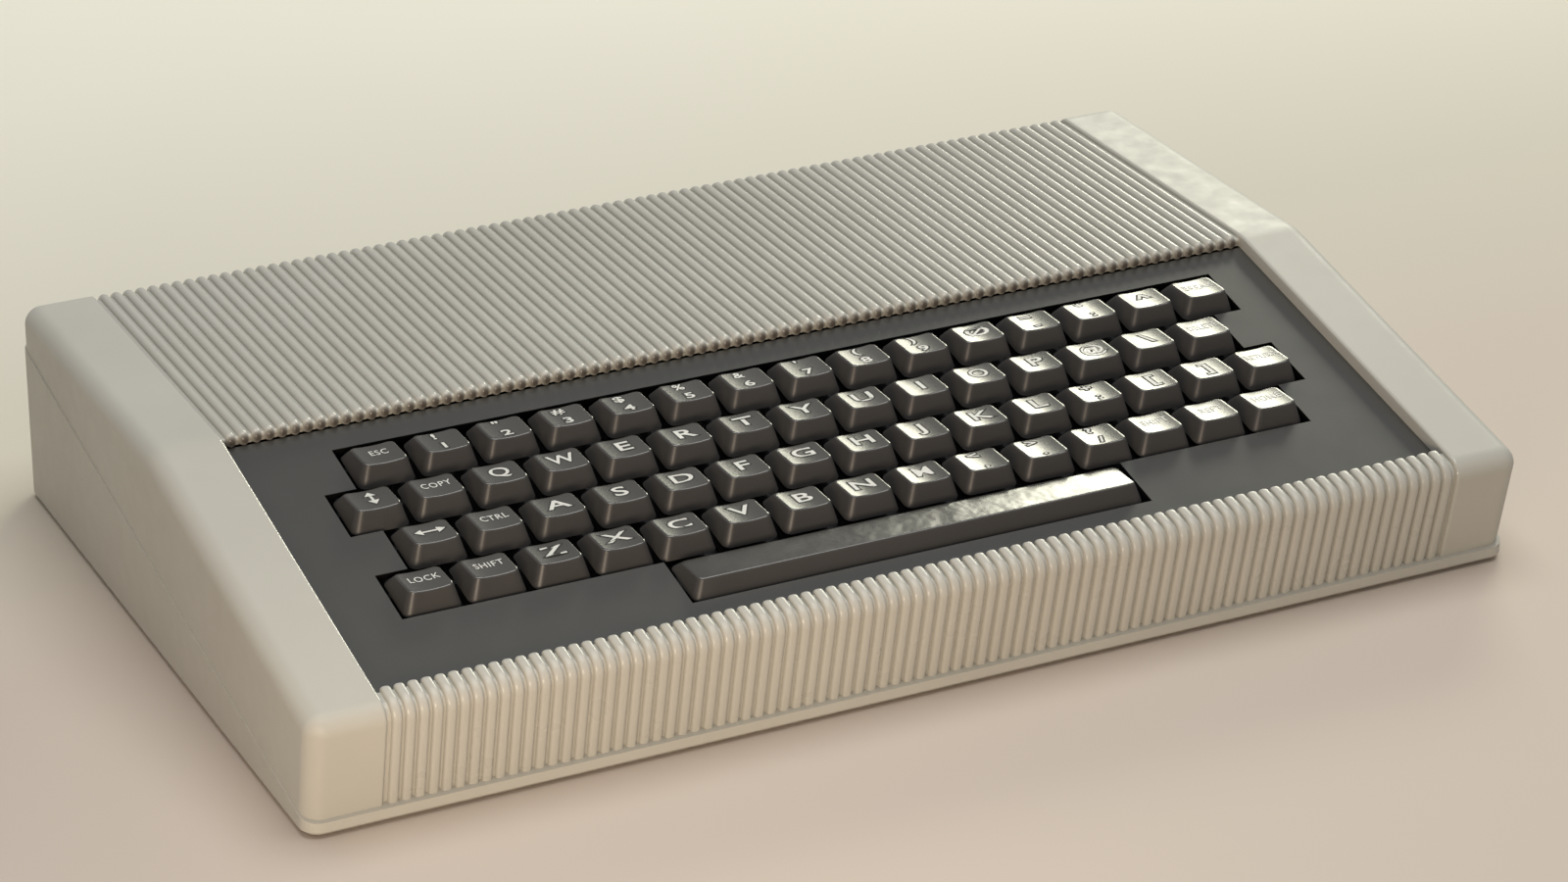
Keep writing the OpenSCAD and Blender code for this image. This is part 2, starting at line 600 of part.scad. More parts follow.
module rubber_feet() color("#1f1f1f") case_frame()
    for (p = foot_places) translate([p[0], p[1], -foot_out]) cylinder(r = foot_r, h = foot_out + foot_sink);

upper_case();
lower_case();
key_panel();
switch_plate();
switch_housings();
keyboard_board();
main_board();
board_chips();
tv_modulator();
heat_sink();
voltage_regulators();
loudspeaker();
din_sockets();
power_socket();
expansion_connector();
capacitors();
ribbon_cable();
screws();
rubber_feet();
for (k = concat(LETTERS, DIGITS)) key(k[1], k[2]);
for (g = GROUPS) for (p = g[1]) key(p[0], p[1]);
space_bar();
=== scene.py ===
import math

import bmesh
import bpy
import numpy as np
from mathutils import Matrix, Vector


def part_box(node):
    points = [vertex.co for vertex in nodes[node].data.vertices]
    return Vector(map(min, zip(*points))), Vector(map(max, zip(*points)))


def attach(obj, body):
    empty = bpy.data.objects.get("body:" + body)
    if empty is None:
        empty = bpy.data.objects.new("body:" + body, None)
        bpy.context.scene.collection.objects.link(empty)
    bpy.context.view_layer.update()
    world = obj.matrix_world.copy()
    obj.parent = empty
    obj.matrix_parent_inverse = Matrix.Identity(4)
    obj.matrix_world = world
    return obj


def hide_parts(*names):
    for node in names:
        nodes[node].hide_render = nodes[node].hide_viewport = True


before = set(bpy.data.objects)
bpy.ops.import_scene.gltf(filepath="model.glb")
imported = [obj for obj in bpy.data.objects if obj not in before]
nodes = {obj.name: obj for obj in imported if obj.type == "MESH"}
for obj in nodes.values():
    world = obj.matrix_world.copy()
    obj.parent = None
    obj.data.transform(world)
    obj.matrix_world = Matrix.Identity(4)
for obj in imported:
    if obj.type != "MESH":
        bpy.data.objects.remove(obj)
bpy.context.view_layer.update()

# --- Camera -------------------------------------------------------------------
# It stands at the front left corner, 25 degrees above the table, with a long lens.
camera_place = (-0.5337, -1.1010, 0.6031)
camera_down, camera_turn = math.radians(25.15), math.radians(-26.2)
eye = bpy.data.cameras.new("table_camera")
eye.lens, eye.sensor_width = 104.34, 36.0
camera = bpy.data.objects.new("table_camera", eye)
camera.location = camera_place
camera.rotation_euler = (math.pi / 2 - camera_down, 0.0, camera_turn)
bpy.context.scene.collection.objects.link(camera)
bpy.context.scene.camera = camera
bpy.context.scene.view_settings.view_transform = "Standard"


# --- Table and studio ---------------------------------------------------------
# A seamless sheet under a soft box at the right rear, a warm low lamp in front and a pale ceiling. The sheet's
# colour is painted darker and warmer near the viewer and pale far away, as painted light brighter towards the
# back.
def new_material(name):
    """A material with its Principled shader, as (material, nodes, links, shader)."""
    material = bpy.data.materials.new(name)
    material.use_nodes = True
    tree = material.node_tree
    return material, tree.nodes, tree.links, tree.nodes["Principled BSDF"]


def colour_ramp(tree_nodes, stops):
    """A ramp with the given (position, colour) stops, its colours in linear light."""
    ramp = tree_nodes.new("ShaderNodeValToRGB")
    while len(ramp.color_ramp.elements) < len(stops):
        ramp.color_ramp.elements.new(0.5)
    for element, (position, colour) in zip(ramp.color_ramp.elements, stops):
        element.position, element.color = position, (*colour, 1.0)
    return ramp


# Painted light: the sheet's colour grows paler and brighter with distance from the front.
sheet_painted_light = [
    (0.0, (0.605, 0.525, 0.45)), (0.18, (0.62, 0.585, 0.49)),
    (0.5, (0.80, 0.765, 0.67)), (1.0, (0.95, 0.95, 0.83)),
]
sheet_half, sheet_reach = 4.0, 0.9
backdrop = bpy.data.meshes.new("seamless_sheet")
backdrop.from_pydata(
    [(x * sheet_half, y * sheet_half, 0.0) for x, y in ((-1, -1), (1, -1), (1, 1), (-1, 1))],
    [], [(0, 1, 2, 3)],
)
sheet = bpy.data.objects.new("seamless_sheet", backdrop)
bpy.context.scene.collection.objects.link(sheet)
paper, paper_nodes, paper_links, paper_shader = new_material("seamless_paper")
paper_place = paper_nodes.new("ShaderNodeTexCoord")
paper_axes = paper_nodes.new("ShaderNodeSeparateXYZ")
paper_reach = paper_nodes.new("ShaderNodeMapRange")
paper_reach.inputs["From Min"].default_value = 0.0
paper_reach.inputs["From Max"].default_value = sheet_reach
paper_painted_light = colour_ramp(paper_nodes, sheet_painted_light)
paper_links.new(paper_place.outputs["Object"], paper_axes.inputs[0])
paper_links.new(paper_axes.outputs["Y"], paper_reach.inputs["Value"])
paper_links.new(paper_reach.outputs[0], paper_painted_light.inputs[0])
paper_links.new(paper_painted_light.outputs[0], paper_shader.inputs["Base Color"])
paper_shader.inputs["Roughness"].default_value = 0.9
paper_shader.inputs["Specular IOR Level"].default_value = 0.1
backdrop.materials.append(paper)

sky = bpy.data.worlds.new("studio")
bpy.context.scene.world = sky
sky.use_nodes = True
around = sky.node_tree.nodes["Background"]
around.inputs["Color"].default_value = (0.94, 0.94, 1.0, 1.0)
around.inputs["Strength"].default_value = 0.25


def soft_box(name, place, aim, width, height, power, colour, spread=180.0):
    """A rectangular lamp at place, turned to face aim. Its light spreads over an angle in degrees."""
    lamp = bpy.data.lights.new(name, "AREA")
    lamp.shape, lamp.size, lamp.size_y = "RECTANGLE", width, height
    lamp.energy, lamp.color, lamp.spread = power, colour, math.radians(spread)
    holder = bpy.data.objects.new(name, lamp)
    holder.location = place
    away = np.array(aim, float) - np.array(place, float)
    holder.rotation_euler = (
        math.acos(-away[2] / np.linalg.norm(away)), 0.0, math.atan2(away[0], -away[1]) + math.pi
    )
    holder.visible_camera = False
    bpy.context.scene.collection.objects.link(holder)


soft_box("right_rear_box", (1.26, 1.345, 0.84), (0.1, 0.0, 0.05), 0.72, 0.45, 14.2, (1.0, 0.985, 0.79))
soft_box("front_lamp", (-0.37, -0.58, 0.12), (-0.08, -0.12, 0.02), 0.30, 0.14, 0.37, (1.0, 0.81, 0.62),
         spread=70.0)
soft_box("ceiling", (0.16, -0.04, 1.9), (0.0, 0.0, 0.0), 1.6, 1.6, 26.0, (0.98, 0.99, 0.97))


# --- Upper shell --------------------------------------------------------------
# The moulded upper half of the case, in warm light grey plastic with a fine matt grain. Half-round
# ribs run over the deck and down the rear to the parting, and again over the front edge.

# Sizes are in millimetres. The case stands on its feet with its middle over the origin. Its keyboard
# slope starts at the sharp front corner, and x, v and w run along it, up it and out of it.
mm = 0.001
middle_y, foot_out = 116.317, 1.0
corner_y, corner_z, slope_tilt = -5.404, 35.733, math.radians(12.2)
slope_sin, slope_cos = math.sin(slope_tilt), math.cos(slope_tilt)
deck_height, crease_y, edge_radius = 62.5, 118.4, 5.5
half_width, border_inner, wall_side, wall_top = 188.6, 166.5, 3.0, 4.0
case_depth, shell_step, rear_lean = 237.0, 0.4, math.radians(2.5)
rear_bend_y = (case_depth - shell_step - deck_height * math.tan(rear_lean)
               - edge_radius * math.tan((math.pi / 2 - rear_lean) / 2))
parting_height, parting_rise = 3.8, math.tan(math.radians(11.1))
rib_count, rib_width, rib_height, rib_margin = 86, 2.9, 1.4, 3.0
deck_squareness, front_squareness, nose_radius, tip_radius = 2.05, 2.9, 2.25, 1.9
front_rib_end, nose_y, inner_edge_radius, crease_radius = 11.2, 117.9, 0.8, 28.0
rib_points, edge_points, crease_points, tip_points, inner_points = 15, 12, 9, 7, 6
comb_overlap, bend_support = 1, 0.6
shell_grey, shell_shade = (0.50, 0.488, 0.432), (0.47, 0.455, 0.40)
rib_grey, rib_shade = (0.505, 0.493, 0.438), (0.475, 0.46, 0.405)


def from_case(x, y, z):
    """Points of the case, with y from the front lip and z from the base, as metres of the row frame."""
    return np.stack(np.broadcast_arrays(x, y - middle_y, z + foot_out), -1) * mm


def case_of_slope(v, w):
    """A point v up the slope and w out of it, as (y, z) of the case.

    It is turned by the tilt, then moved to the corner.
    """
    return corner_y + v * slope_cos - w * slope_sin, corner_z + v * slope_sin + w * slope_cos


def new_piece(name, patches, materials, body, keep=(), closed=True):
    """One mesh from patches and from loose faces.

    A patch is (points, closes, slot): points is a grid of rows and columns, each quad joins four
    neighbours, and closes says whether the last column joins the first. Loose faces are
    (points, triangles, slot). Touching points are merged, and the faces are turned outwards.
    Edges that bend by more than sharp_above degrees stay crisp.
    """
    sharp_above, weld = 38.0, 2e-6
    spots, faces, slots, first = [], [], [], 0
    for points, closes, slot in patches:
        rows, columns = points.shape[:2]
        i = np.arange(rows - 1)[:, None]
        j = np.arange(columns if closes else columns - 1)[None, :]
        near, far = first + i * columns + j, first + i * columns + (j + 1) % columns
        quads = np.stack([near, far, far + columns, near + columns], -1).reshape(-1, 4)
        spots.append(points.reshape(-1, 3))
        faces += quads.tolist()
        slots += [slot] * len(quads)
        first += rows * columns
    mesh = bpy.data.meshes.new(name)
    mesh.from_pydata(np.concatenate(spots).tolist(), [], faces)
    mesh.polygons.foreach_set("material_index", slots)
    work = bmesh.new()
    work.from_mesh(mesh)
    bmesh.ops.remove_doubles(work, verts=work.verts, dist=weld)
    bmesh.ops.dissolve_degenerate(work, dist=weld / 4, edges=work.edges)
    if closed:
        bmesh.ops.recalc_face_normals(work, faces=work.faces)
    work.to_mesh(mesh)
    work.free()
    if keep:
        loose = bpy.data.meshes.new(name + "_loose")
        offset, spots, faces, slots = 0, [], [], []
        for points, triangles, slot in keep:
            spots.append(points)
            faces += (triangles + offset).tolist()
            slots += [slot] * len(triangles)
            offset += len(points)
        loose.from_pydata(np.concatenate(spots).tolist(), [], faces)
        loose.polygons.foreach_set("material_index", slots)
        work = bmesh.new()
        work.from_mesh(mesh)
        work.from_mesh(loose)
        work.to_mesh(mesh)
        work.free()
        bpy.data.meshes.remove(loose)
    mesh.polygons.foreach_set("use_smooth", np.ones(len(mesh.polygons), bool))
    mesh.set_sharp_from_angle(angle=math.radians(sharp_above))
    for material in materials:
        mesh.materials.append(material)
    piece = bpy.data.objects.new(name, mesh)
    bpy.context.scene.collection.objects.link(piece)
    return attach(piece, body)


def plastic(name, colour, shade, roughness, grain, grain_depth, gloss=0.5, blotch=0.08, patch=0.011):
    """Moulded plastic: a colour that drifts slowly towards its shade, a fine moulded grain as bump,
    and a roughness that varies by blotch in soft patches. Grain and patch are spacings in metres."""
    drift_size = 0.06
    material, tree_nodes, links, shader = new_material(name)
    place = tree_nodes.new("ShaderNodeTexCoord")
    drift = tree_nodes.new("ShaderNodeTexNoise")
    drift.inputs["Scale"].default_value, drift.inputs["Detail"].default_value = 1 / drift_size, 3.0
    tint = colour_ramp(tree_nodes, [(0.3, colour), (0.75, shade)])
    fine = tree_nodes.new("ShaderNodeTexNoise")
    fine.inputs["Scale"].default_value, fine.inputs["Detail"].default_value = 1 / grain, 2.0
    bump = tree_nodes.new("ShaderNodeBump")
    bump.inputs["Strength"].default_value, bump.inputs["Distance"].default_value = 1.0, grain_depth
    uneven = tree_nodes.new("ShaderNodeTexNoise")
    uneven.inputs["Scale"].default_value, uneven.inputs["Detail"].default_value = 1 / patch, 4.0
    rough = tree_nodes.new("ShaderNodeMapRange")
    rough.inputs["To Min"].default_value = roughness - blotch
    rough.inputs["To Max"].default_value = roughness + blotch
    for texture in (drift, fine, uneven):
        links.new(place.outputs["Object"], texture.inputs["Vector"])
    links.new(drift.outputs["Fac"], tint.inputs[0])
    links.new(tint.outputs[0], shader.inputs["Base Color"])
    links.new(fine.outputs["Fac"], bump.inputs["Height"])
    links.new(bump.outputs[0], shader.inputs["Normal"])
    links.new(uneven.outputs["Fac"], rough.inputs["Value"])
    links.new(rough.outputs[0], shader.inputs["Roughness"])
    shader.inputs["Specular IOR Level"].default_value = gloss
    return material


def painted_shade(material, way, low, high, shade_colour):
    """The material's colour gives way to a painted shade colour. Measured in metres along way, it is its own
    above high and the painted shade alone below low."""
    tree_nodes, links = material.node_tree.nodes, material.node_tree.links
    colour = tree_nodes["Principled BSDF"].inputs["Base Color"]
    place, reach = tree_nodes.new("ShaderNodeTexCoord"), tree_nodes.new("ShaderNodeVectorMath")
    fade, mix = tree_nodes.new("ShaderNodeMapRange"), tree_nodes.new("ShaderNodeMix")
    reach.operation, mix.data_type = "DOT_PRODUCT", "RGBA"
    reach.inputs[1].default_value, mix.inputs["A"].default_value = way, (*shade_colour, 1.0)
    fade.inputs["From Min"].default_value, fade.inputs["From Max"].default_value = low, high
    links.new(place.outputs["Object"], reach.inputs[0])
    links.new(reach.outputs["Value"], fade.inputs["Value"])
    links.new(fade.outputs[0], mix.inputs["Factor"])
    links.new(colour.links[0].from_socket, mix.inputs["B"])
    links.new(mix.outputs["Result"], colour)


shell_plastic = plastic("case_plastic", shell_grey, shell_shade, 0.44, 0.00035, 0.000006, gloss=0.2,
                        blotch=0.17, patch=0.007)


def arc(centre, radius, start, end, count):
    """Points and outward directions of an arc in the side view, angles in radians from +y towards +z."""
    angle = np.linspace(start, end, count)
    way = np.stack([np.cos(angle), np.sin(angle)], -1)
    return np.array(centre) + radius * way, way


def side_path(parts):
    """Arcs and points joined into one path: an array of points and one of outward directions."""
    return (np.concatenate([points for points, _ in parts]),
            np.concatenate([np.broadcast_to(ways, points.shape) for points, ways in parts]))


def swept(x, height, path):
    """A section carried along a path. Each point is the path's, moved out by the section's height."""
    points, ways = path
    yz = points[:, None, :] + height[None, :, None] * ways[:, None, :]
    return np.concatenate([np.broadcast_to(x[None, :, None], (*yz.shape[:2], 1)), yz], -1)


def down_to_parting(row, way):
    """Where lines from a row of points along way meet the sloping plane between the shells."""
    reach = (parting_height + parting_rise * row[:, 1] - row[:, 2]) / (way[1] - parting_rise * way[0])
    return row + reach[:, None] * np.array([0.0, way[0], way[1]])


def slab(outer, inner):
    """The six sides of a wall between two grids of the same shape."""
    return [outer, inner, np.stack([outer[0], inner[0]]), np.stack([outer[-1], inner[-1]]),
            np.stack([outer[:, 0], inner[:, 0]]), np.stack([outer[:, -1], inner[:, -1]])]


slope_way = np.array([-slope_sin, slope_cos])
front_down = np.array([slope_sin, -slope_cos])
rear_down = np.array([math.sin(rear_lean), -math.cos(rear_lean)])
front_centre = np.array(case_of_slope(edge_radius, -edge_radius))
rear_centre = np.array([rear_bend_y, deck_height - edge_radius])
crease_centre = np.array([crease_y + crease_radius * math.tan(slope_tilt / 2), deck_height - crease_radius])
front_bend = arc(front_centre, edge_radius, math.pi + slope_tilt, math.pi / 2 + slope_tilt, edge_points)
crease_bend = arc(crease_centre, crease_radius, math.pi / 2 + slope_tilt, math.pi / 2, crease_points)
rear_bend = arc(rear_centre, edge_radius, math.pi / 2, rear_lean, edge_points)


def comb(squareness):
    """Section across all ribs as x and height: each rib is a superellipse, and the groove floors lie a
    rib's height lower. A squareness of 2 is half round, and more makes the crown flatter."""
    turn = np.linspace(0.0, math.pi, rib_points)
    rib_x = -np.sign(np.cos(turn)) * np.abs(np.cos(turn)) ** (2 / squareness) * rib_width / 2
    rib_z = (np.sin(turn).clip(0) ** (2 / squareness) - 1) * rib_height
    middles = np.linspace(-border_inner + rib_margin, border_inner - rib_margin, rib_count)
    end = border_inner + comb_overlap
    return (np.concatenate([[-end], (middles[:, None] + rib_x).ravel(), [end]]),
            np.concatenate([[-rib_height], np.tile(rib_z, rib_count), [-rib_height]]))


# Deck and rear: up the noses, which curl in below like fingertips, over the deck, round the rear
# edge and down to the parting.
nose_curl = math.pi + math.asin(wall_top / nose_radius - 1)
nose_end, nose_spread = nose_y + nose_radius, 0.3
nose_bend = arc((nose_end, deck_height - nose_radius), nose_radius, nose_curl, math.pi / 2, edge_points)
deck_way = np.array([0.0, 1.0])
deck_path = side_path([
    nose_bend,
    (np.array([
        [nose_end + bend_support, deck_height], [rear_bend_y - bend_support, deck_height],
    ]), deck_way),
    rear_bend,
])
comb_x, comb_z = comb(deck_squareness)
deck_rows = swept(comb_x, comb_z, deck_path)
deck_rows = np.concatenate([deck_rows, down_to_parting(deck_rows[-1], rear_down)[None]])
deck_under = swept(comb_x, np.full(len(comb_x), -wall_top), deck_path)
nose_under = np.linspace(nose_end - nose_spread, nose_end + nose_spread, edge_points)
deck_under[:edge_points, :, 1] = nose_under[:, None]
deck_under[:edge_points, :, 2] = deck_height - wall_top
deck_under = np.concatenate([deck_under, down_to_parting(deck_under[-1], rear_down)[None]])

# Front edge: from the keyboard well over the edge and down the front to the parting.
tip_centre = np.array(case_of_slope(front_rib_end - tip_radius, -tip_radius))
tip_bend = arc(tip_centre, tip_radius, slope_tilt, math.pi / 2 + slope_tilt, tip_points)
well_foot = np.array(case_of_slope(front_rib_end, -wall_top))
tip_support, under_gap, under_reach = 0.5, 0.1, 1.5
front_path = side_path([
    (well_foot[None], np.array([slope_cos, slope_sin])), tip_bend,
    (np.array([case_of_slope(edge_radius + tip_support, 0.0)]), slope_way),
    (front_bend[0][::-1], front_bend[1][::-1]),
])
comb_x, comb_z = comb(front_squareness)
front_rows = swept(comb_x, comb_z, front_path)
front_rows = np.concatenate([front_rows, down_to_parting(front_rows[-1], front_down)[None]])
front_under = swept(comb_x, np.full(len(comb_x), -wall_top), front_path)
under_rows = tip_points + 1
under_v = np.linspace(front_rib_end - rib_height - under_gap, edge_radius + under_reach, under_rows)
under_y, under_z = case_of_slope(under_v, -wall_top)
front_under[:under_rows, :, 1], front_under[:under_rows, :, 2] = under_y[:, None], under_z[:, None]
front_under = np.concatenate([front_under, down_to_parting(front_under[-1], front_down)[None]])

# Smooth borders: a closed section with a small inner edge and a large outer one, carried along the
# side view.
inner_turn = np.linspace(math.pi, math.pi / 2, inner_points)
outer_turn, under_turn = np.linspace(math.pi / 2, 0.0, edge_points), np.linspace(0.0, math.pi / 2, 5)
inner_support, inner_lap = 1.4, 0.5
outer_start = half_width - edge_radius
border_x = np.concatenate([
    [border_inner], border_inner + inner_edge_radius * (1 + np.cos(inner_turn)), [border_inner + inner_support],
    [outer_start - bend_support], outer_start + edge_radius * np.cos(outer_turn),
    outer_start + (edge_radius - wall_side) * np.cos(under_turn), [border_inner + inner_lap],
])
border_z = np.concatenate([
    [-wall_top], inner_edge_radius * (np.sin(inner_turn) - 1), [0.0],
    [0.0], edge_radius * (np.sin(outer_turn) - 1),
    -edge_radius + (edge_radius - wall_top) * np.sin(under_turn), [-wall_top],
])
border_path = side_path([
    front_bend,
    (np.array([case_of_slope(edge_radius + bend_support, 0.0)]), slope_way),
    (crease_bend[0][:1] - bend_support * np.array([slope_cos, slope_sin]), slope_way),
    crease_bend,
    (np.array([
        [crease_centre[0] + bend_support, deck_height], [rear_bend_y - bend_support, deck_height],
    ]), deck_way),
    rear_bend,
])
border_rows = swept(border_x, border_z, border_path)
border_rows = np.concatenate([
    down_to_parting(border_rows[0], front_down)[None], border_rows,
    down_to_parting(border_rows[-1], rear_down)[None],
])
lid_points = len(border_x) // 2

# Flat side walls below the borders, down to the parting.
rim = np.concatenate([front_centre[None], crease_bend[0] - edge_radius * crease_bend[1], rear_centre[None]])
rim_row = np.concatenate([np.full((len(rim), 1), half_width), rim], -1)
foot_ends = np.stack([
    down_to_parting(rim_row[:1], front_down)[0], down_to_parting(rim_row[-1:], rear_down)[0],
])
share = ((rim[:, 0] - rim[0, 0]) / (rim[-1, 0] - rim[0, 0]))[:, None]
side_outer = np.stack([rim_row, foot_ends[0] * (1 - share) + foot_ends[1] * share])
side_inner = side_outer - np.array([wall_side, 0.0, 0.0])


def in_row_frame(points):
    """Grids of case points, in millimetres, moved to the row frame."""
    return from_case(points[..., 0], points[..., 1], points[..., 2])


# Slots: 0 the plain shell, 1 the ribs of the deck, 2 the polished edges, 3 the ribs of the front.
shell_patches = [(in_row_frame(p), False, 1) for p in slab(deck_rows, deck_under)]
shell_patches += [(in_row_frame(p), False, 3) for p in slab(front_rows, front_under)]
inner_edge = border_rows[:, 1:1 + inner_points]
border_rest = np.roll(border_rows, -inner_points, axis=1)[:, :2 - inner_points]
for side in (-1.0, 1.0):
    flip = np.array([side, 1.0, 1.0])
    shell_patches.append((in_row_frame(inner_edge * flip), False, 2))
    shell_patches.append((in_row_frame(border_rest * flip), False, 0))
    for end in (border_rows[0], border_rows[-1]):
        lids = np.stack([end[:lid_points], end[lid_points:][::-1][:lid_points]])
        shell_patches.append((in_row_frame(lids * flip), False, 0))
    shell_patches += [(in_row_frame(p * flip), False, 0) for p in slab(side_outer, side_inner)]

# The ribs of the deck are glossier from wear, and their noses over the keyboard well are painted dark brown as
# shade, since they face down into the well. The borders' inner edges are polished by hands.
deck_plastic = plastic("ribbed_plastic", rib_grey, rib_shade, 0.22, 0.00035, 0.000002, gloss=0.42, blotch=0.06)
# Painted shade on the noses: over their front millimetre the colour goes to a dark brown.
nose_shade_from, nose_shade_to = 0.1, 1.1
painted_shade(deck_plastic, (0.0, 1.0, 0.0), (nose_y - middle_y + nose_shade_from) * mm,
        (nose_y - middle_y + nose_shade_to) * mm, (0.10, 0.084, 0.066))
front_plastic = plastic("front_rib_plastic", rib_grey, rib_shade, 0.29, 0.00035, 0.000002, gloss=0.42,
                        blotch=0.06)
edge_plastic = plastic("polished_edge", shell_grey, shell_shade, 0.16, 0.00035, 0.000002, gloss=0.5,
                       blotch=0.05)
upper_shell = new_piece("upper_shell", shell_patches,
                        [shell_plastic, deck_plastic, edge_plastic, front_plastic], "case")
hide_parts("upper_case")


def dress(node, material):
    """A CAD node keeps its mesh and takes this material."""
    mesh = nodes[node].data
    mesh.materials.clear()
    mesh.materials.append(material)


dress("lower_case", shell_plastic)


# --- Keyboard panel -----------------------------------------------------------
# The sunken satin panel round the keys, moulded in dark grey plastic, in the upper shell's opening.
# The walls of its openings are painted near-black, as the shade in the gaps round the keys.
panel_plastic = plastic("panel_plastic", (0.052, 0.051, 0.045), (0.047, 0.046, 0.042), 0.25, 0.0009,
                        0.000012, gloss=0.95, blotch=0.02)
panel_top = -wall_top + (middle_y - corner_y) * slope_sin + (foot_out + corner_z) * slope_cos
black_below, grey_above = 0.3, 0.1
# Painted shade: below the panel top the colour goes to near-black.
painted_shade(panel_plastic, (0.0, -slope_sin, slope_cos), (panel_top - black_below) * mm,
        (panel_top - grey_above) * mm, (0.004, 0.004, 0.004))
dress("key_panel", panel_plastic)


# --- Keycaps ------------------------------------------------------------------
# Moulded satin keycaps on round plungers. Their sides lean in, and the tops are level, with a hollow across for
# the finger. White legends lie in the top, each in a narrow groove whose shade is painted near-black, flat on
# the top.
key_pitch, first_row_v, key_shift, middle_place = 19.05, 106.14, 6.0, 7
key_foot, key_top, foot_half, foot_round = -5.4, 0.1, 8.55, 2.3
top_half_width, top_half_depth, top_round, rim_radius = 6.45, 6.1, 1.8, 0.5
dish_radius, dish_depth, cap_wall, pocket_round, ceiling_w = 41.13, 0.6, 2.25, 0.55, -2.69
plunger_foot, plunger_radius, points_round = -14.5, 2.6, 80
key_grey, key_shade = (0.066, 0.064, 0.055), (0.056, 0.054, 0.047)
key_plastic = plastic("keycap_plastic", key_grey, key_shade, 0.26, 0.0007, 0.000007, gloss=1.0, blotch=0.03)
bar_plastic = plastic("space_bar_top", key_grey, key_shade, 0.19, 0.008, 0.00017, gloss=0.75, blotch=0.07)
# The sides and plungers are painted darker than the tops, and the rims a little darker: painted shade.
shaded_side_plastic = plastic("keycap_sides", (0.053, 0.050, 0.046), (0.046, 0.043, 0.040), 0.43, 0.0004, 0.000007)
rim_plastic = plastic("keycap_rims", (0.060, 0.057, 0.050), (0.050, 0.048, 0.043), 0.2, 0.0004, 0.000002,
                      gloss=1.0, blotch=0.03)
legend_white = plastic("legend_white", (0.72, 0.71, 0.66), (0.66, 0.65, 0.60), 0.5, 0.0003, 0.000003)
# The groove round each legend is painted near-black, as its shade.
painted_groove_shade = plastic("painted_groove_shade", (0.010, 0.010, 0.010), (0.014, 0.014, 0.013), 0.7, 0.0003, 0.000003)


def from_slope(x, v, w):
    """Points of the slope's frame in the row frame."""
    return from_case(x, *case_of_slope(v, w))


def rounded_ring(half_x, half_v, radius):
    """A rectangle with round corners. Each quarter is half a side, a quarter arc and half a side, which
    take these shares of its points."""
    side_share, bend_share = 0.35, 0.3
    step = (np.arange(points_round // 4) + 0.5) / (points_round // 4)
    bent = np.clip((step - side_share) / bend_share, 0.0, 1.0) * math.pi / 2
    first, last = np.clip(step / side_share, 0, 1), np.clip((1 - step) / side_share, 0, 1)
    corner_x, corner_v = half_x - radius, half_v - radius
    quarter = np.stack([corner_x * last + radius * np.cos(bent), corner_v * first + radius * np.sin(bent)], -1)
    return np.concatenate([quarter, quarter[::-1] * [-1, 1], quarter * [-1, -1], quarter[::-1] * [1, -1]])


def dish(x):
    """Height of the hollow top over the rim plane: a cylinder whose axis runs from front to back."""
    return dish_radius - dish_depth - np.sqrt(dish_radius**2 - x**2)


def level(points, height, top):
    """Points of the level top, by x, depth and height, as x, v and w of the slope: turned by the tilt."""
    x, y = points[..., 0], points[..., 1]
    return np.stack([x, y * slope_cos + height * slope_sin, top - y * slope_sin + height * slope_cos], -1)


def cap_rings(foot_x, foot_v, top_x, top_v, top, hollow):
    """Rings from the plunger's end over the pocket, the foot and the leaning sides to the top's middle.

    The rim is a quadratic curve from the side over the sharp rim to the top. The rings come as three
    stacks that share a ring each: the plunger and the sides, the rim, and the top.
    """
    rim_steps, top_scales = (0.0, 0.25, 0.5, 0.75, 1.0), (0.93, 0.8, 0.64, 0.48, 0.32, 0.16, 0.0)

    def flat(ring, w):
        return np.concatenate([ring, np.full((len(ring), 1), w)], -1)

    circle = rounded_ring(plunger_radius, plunger_radius, plunger_radius)
    middle = np.zeros((points_round, 2))
    pocket = rounded_ring(foot_x - cap_wall, foot_v - cap_wall, pocket_round)
    foot = rounded_ring(foot_x, foot_v, foot_round)
    rings = [flat(middle, plunger_foot), flat(circle, plunger_foot), flat(circle, ceiling_w + top - key_top),
             flat(pocket, ceiling_w + top - key_top), flat(pocket, key_foot), flat(foot, key_foot)]
    rim_ring = rounded_ring(top_x, top_v, top_round)
    sharp_rim = level(rim_ring, hollow(rim_ring[:, 0]), top)
    side = flat(foot, key_foot)
    lean = (side - sharp_rim) / np.linalg.norm(side - sharp_rim, axis=-1, keepdims=True)
    before = sharp_rim + lean * rim_radius
    inside = rim_ring * np.array([1 - rim_radius / top_x, 1 - rim_radius / top_v])
    on_top = level(inside, hollow(inside[:, 0]), top)
    side_end, rim_end = len(rings), len(rings) + len(rim_steps) - 1
    for step in rim_steps:
        rings.append(before * (1 - step) ** 2 + sharp_rim * 2 * step * (1 - step) + on_top * step**2)
    for scale in top_scales:
        spot = inside * scale
        rings.append(level(spot, hollow(spot[:, 0]), top))
    return np.stack(rings[:side_end + 1]), np.stack(rings[side_end:rim_end + 1]), np.stack(rings[rim_end:])


